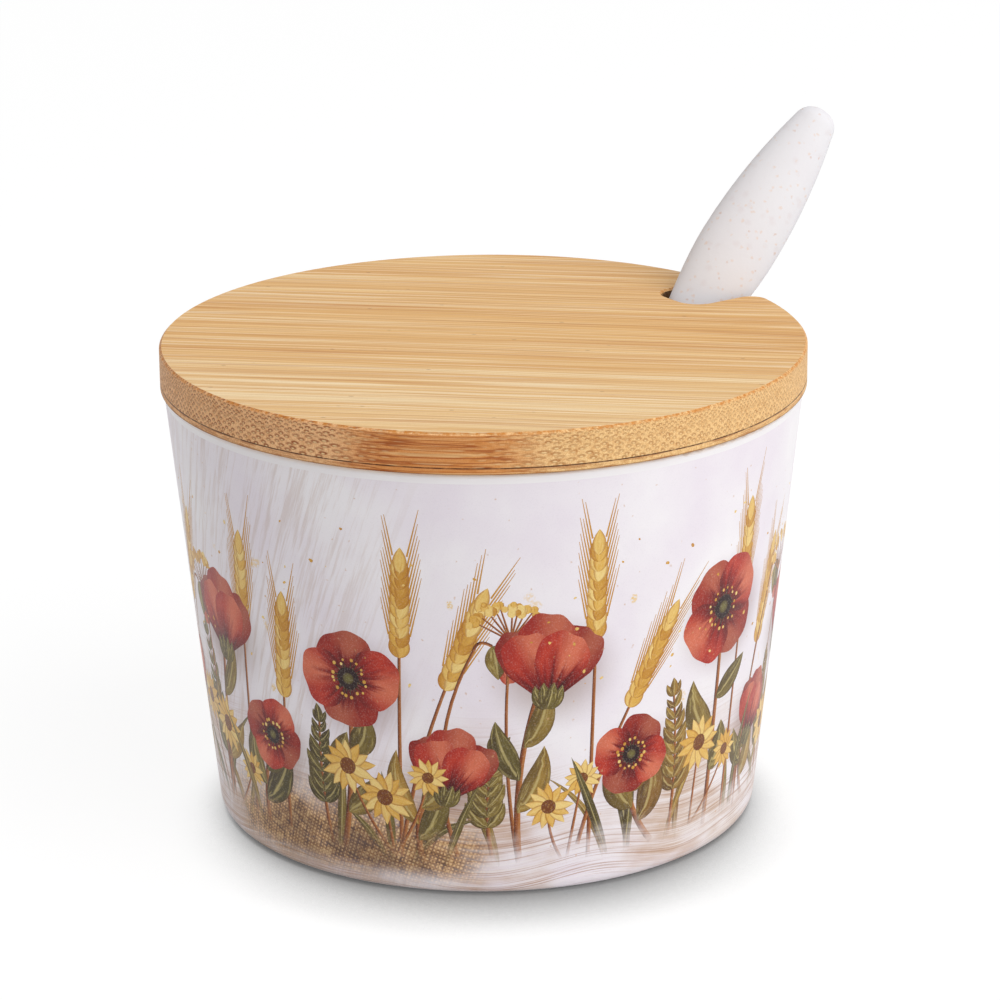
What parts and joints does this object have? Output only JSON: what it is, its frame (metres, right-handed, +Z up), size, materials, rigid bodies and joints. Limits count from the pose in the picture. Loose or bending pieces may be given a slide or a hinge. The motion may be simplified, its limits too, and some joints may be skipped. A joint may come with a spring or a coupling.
{
  "type": "honey dish",
  "caption": "Conical bamboo-fibre honey dish with a printed wall, a laminated bamboo lid that lifts off, and a spoon leaning out of the lid's notch.",
  "frame": {"origin": "on the cup's axis, in the plane of the foot ring that it stands on", "axes": "+Z up along the cup's axis, +X towards the lid's notch and the leaning spoon"},
  "size_m": [0.1312, 0.1108, 0.1137],
  "materials": {
    "cup_body": "satin moulded bamboo fibre with fine tan flecks",
    "print": "satin printed foil moulded into the wall",
    "bamboo_top": "sanded and oiled bamboo strips",
    "bamboo_base": "sanded bamboo strips",
    "spoon_body": "matte moulded bamboo fibre with peach specks"
  },
  "bodies": {
    "cup": {"cup": "cup_body", "print_foil": "print"},
    "spoon": {"spoon": "spoon_body"},
    "lid": {"lid_top_strip_1": "bamboo_top", "lid_top_strip_2": "bamboo_top", "lid_top_strip_3": "bamboo_top", "lid_top_strip_4": "bamboo_top", "lid_top_strip_5": "bamboo_top", "lid_top_strip_6": "bamboo_top", "lid_base_strip_1": "bamboo_base", "lid_base_strip_2": "bamboo_base", "lid_base_strip_3": "bamboo_base", "lid_base_strip_4": "bamboo_base", "lid_base_strip_5": "bamboo_base", "lid_base_strip_6": "bamboo_base"}
  },
  "joints": [
    {"name": "spoon_lift", "type": "slide", "parent": "cup", "child": "spoon", "axis": [0, 0, 1], "range_m": [0, 0.08]},
    {"name": "lid_lift", "type": "slide", "parent": "spoon", "child": "lid", "axis": [0, 0, 1], "range_m": [0, 0.06]}
  ]
}
